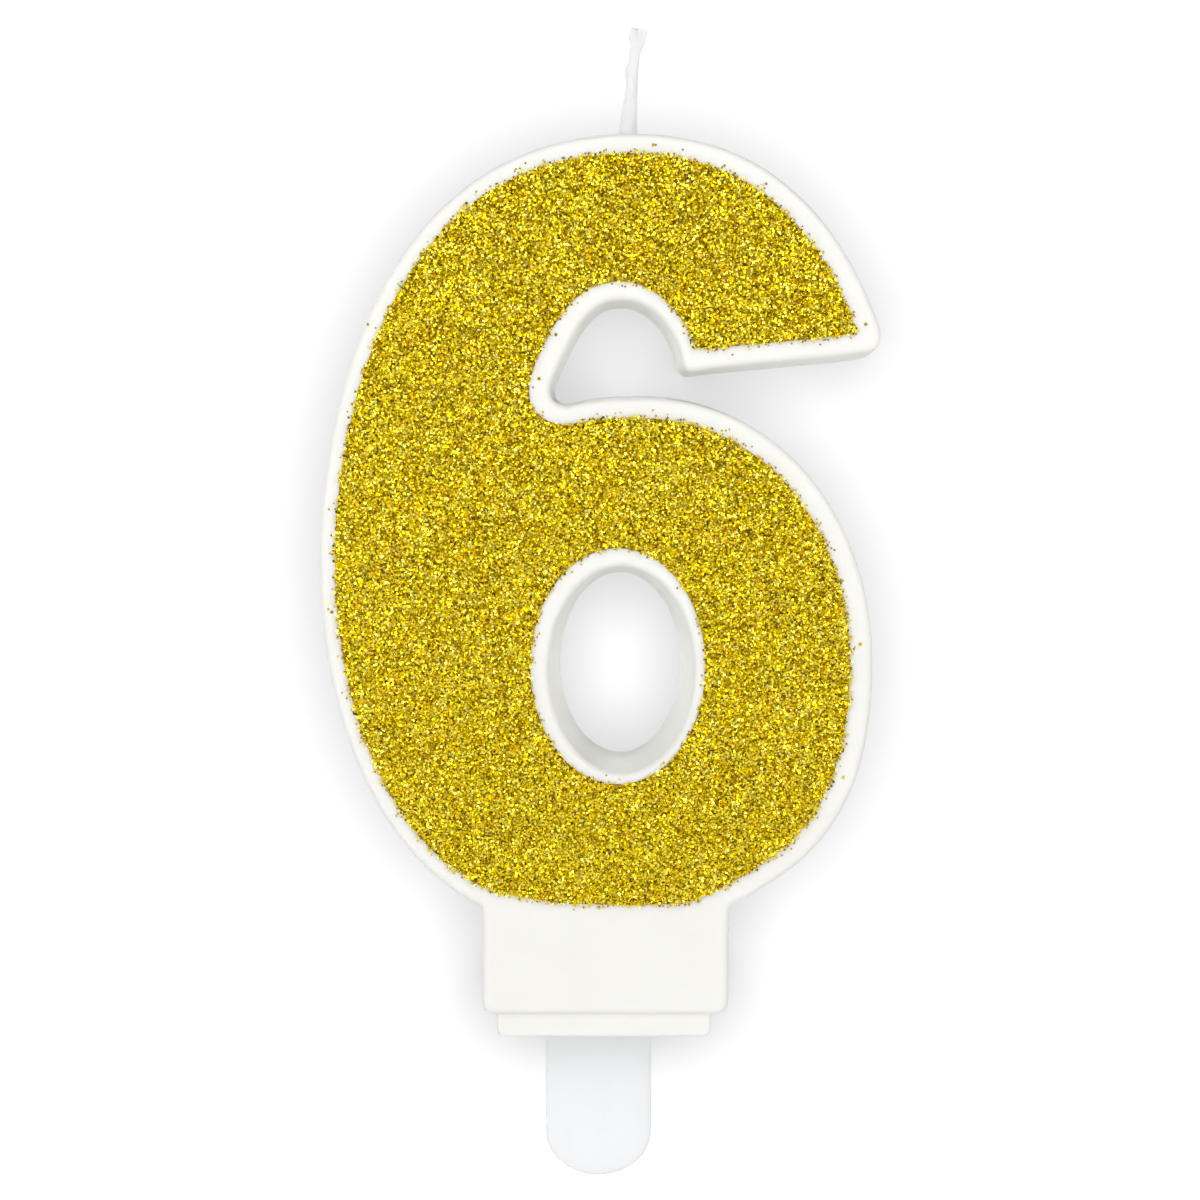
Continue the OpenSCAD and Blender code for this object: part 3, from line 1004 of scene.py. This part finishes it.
def backdrop_material():
    """Bright glowing paper with painted shade: a halo darker close to what lies on it, a painted shadow
    round the foot, and clear from behind.
    """
    material, _ = new_material("paper_with_painted_shade", {})
    # Painted shade: the sheet's glow drops where an occlusion test finds the candle close.
    near = node(material, "ShaderNodeAmbientOcclusion", {"Distance": PAINTED_HALO_SHADE_REACH * MM}, samples=12)
    share = math_node(material, "MULTIPLY", near.outputs["AO"], PAINTED_HALO_SHADE_DEPTH)
    # Painted shadow: a soft grey ellipse round the foot darkens the glow.
    pool = math_node(material, "MULTIPLY", painted_shadow_ellipse(material, FOOT_SHADOW_PAINT_MIDDLE, FOOT_SHADOW_PAINT_HALF), FOOT_SHADOW_PAINT_DEPTH)
    shaded = math_node(material, "SUBTRACT", share, pool)
    glow = math_node(material, "ADD", shaded, PAPER_GLOW - PAINTED_HALO_SHADE_DEPTH)
    paper = node(material, "ShaderNodeEmission", {"Strength": glow})
    back = node(material, "ShaderNodeNewGeometry").outputs["Backfacing"]
    clear = node(material, "ShaderNodeBsdfTransparent").outputs[0]
    mix = node(material, "ShaderNodeMixShader", {0: back, 1: paper.outputs[0], 2: clear})
    output = material.node_tree.nodes["Material Output"]
    material.node_tree.links.new(mix.outputs[0], output.inputs["Surface"])
    return material


def flat_sheet(name, corners, material):
    mesh = bpy.data.meshes.new(name)
    mesh.from_pydata([[c * MM for c in corner] for corner in corners], [], [(0, 1, 2, 3)])
    sheet = bpy.data.objects.new(name, mesh)
    bpy.context.scene.collection.objects.link(sheet)
    mesh.materials.append(material)
    return sheet


def backdrop():
    """A pale glowing sheet just behind the candle, with shade painted round the candle. It shows from
    the front only, and sends no light or shadow back to the candle."""
    y, wide, low, high = BACK + SHEET_GAP, 260, PICK_LOW[2] - FLOOR_DROP, 240
    corners = [(-wide, y, low), (wide, y, low), (wide, y, high), (-wide, y, high)]
    sheet = flat_sheet("backdrop", corners, backdrop_material())
    sheet.visible_diffuse = False
    sheet.visible_glossy = False
    sheet.visible_transmission = False
    sheet.visible_shadow = False


def floor():
    """The pale floor, which lets the lamps below it shine through."""
    z, wide = PICK_LOW[2] - FLOOR_DROP, 3000
    corners = [(-wide, -wide, z), (wide, -wide, z), (wide, wide, z), (-wide, wide, z)]
    flat_sheet("floor", corners, floor_material()).visible_shadow = False


def middle_of_object():
    return (CAD_BOX[0] + CAD_BOX[1]) / 2


def softbox(name, azimuth, elevation, size, radiance):
    """A square panel that faces the candle. Azimuth 0 is straight in front, and 90 is to the right."""
    a, e = math.radians(azimuth), math.radians(elevation)
    way = Vector((math.sin(a) * math.cos(e), -math.cos(a) * math.cos(e), math.sin(e)))
    light = bpy.data.lights.new(name, "AREA")
    light.shape = "SQUARE"
    light.size = size
    light.energy = radiance * math.pi * size * size
    lamp = bpy.data.objects.new(name, light)
    lamp.location = middle_of_object() + way * LIGHT_R
    lamp.rotation_euler = way.to_track_quat("Z", "Y").to_euler()
    bpy.context.scene.collection.objects.link(lamp)


def lights():
    front = [(-36, 26, 0.16), (34, 28, 0.15), (-48, -6, 0.12), (46, -6, 0.11), (0, 54, 0.19),
             (-24, -30, 0.07), (22, -32, 0.07), (-17, 10, 0.08), (18, 14, 0.08), (2, -20, 0.07)]
    for number, (azimuth, elevation, size) in enumerate(front, 1):
        softbox(f"front_panel_{number}", azimuth, elevation, size, FRONT_RADIANCE)
    rear = [(-110, 25, 0.26), (110, 25, 0.22), (180, 35, 0.28), (-150, 8, 0.27), (150, 5, 0.2)]
    for number, (azimuth, elevation, size) in enumerate(rear, 1):
        softbox(f"rear_panel_{number}", azimuth, elevation, size, REAR_RADIANCE)


def world():
    """A dim grey room for the light, and plain white where the camera looks past everything."""
    made = bpy.data.worlds.new("studio")
    made.use_nodes = True
    tree = made.node_tree
    room = tree.nodes["Background"]
    room.inputs["Color"].default_value = (1, 1, 1, 1)
    room.inputs["Strength"].default_value = ROOM_RADIANCE
    white = tree.nodes.new("ShaderNodeBackground")
    white.inputs["Strength"].default_value = 1.0
    white.inputs["Color"].default_value = (1, 1, 1, 1)
    path = tree.nodes.new("ShaderNodeLightPath")
    mix = tree.nodes.new("ShaderNodeMixShader")
    tree.links.new(path.outputs["Is Camera Ray"], mix.inputs[0])
    tree.links.new(room.outputs[0], mix.inputs[1])
    tree.links.new(white.outputs[0], mix.inputs[2])
    tree.links.new(mix.outputs[0], tree.nodes["World Output"].inputs["Surface"])
    bpy.context.scene.world = made


def camera():
    """Straight in front, a little above the middle and left of it; half of the drop is lens shift."""
    aim = Vector((VIEW_X, FRONT, VIEW_Z + EYE_RISE / 2)) * MM
    eye = Vector((VIEW_X - EYE_LEFT, FRONT - EYE_GAP, VIEW_Z + EYE_RISE)) * MM
    data = bpy.data.cameras.new("camera")
    data.sensor_width = SENSOR
    data.lens = SENSOR * EYE_GAP / VIEW_WIDTH
    data.shift_y = -EYE_RISE / 2 / VIEW_WIDTH
    data.clip_start = 0.01
    made = bpy.data.objects.new("camera", data)
    made.location = eye
    made.rotation_euler = (aim - eye).to_track_quat("-Z", "Y").to_euler()
    bpy.context.scene.collection.objects.link(made)
    bpy.context.scene.camera = made


def studio():
    backdrop()
    floor()
    lights()
    world()
    camera()
    scene = bpy.context.scene
    scene.view_settings.view_transform = "Standard"
    scene.cycles.use_denoising = True


studio()
wax_casting()
glue_film()
glitter_flakes()
stray_flakes()
wick()
cake_pick()
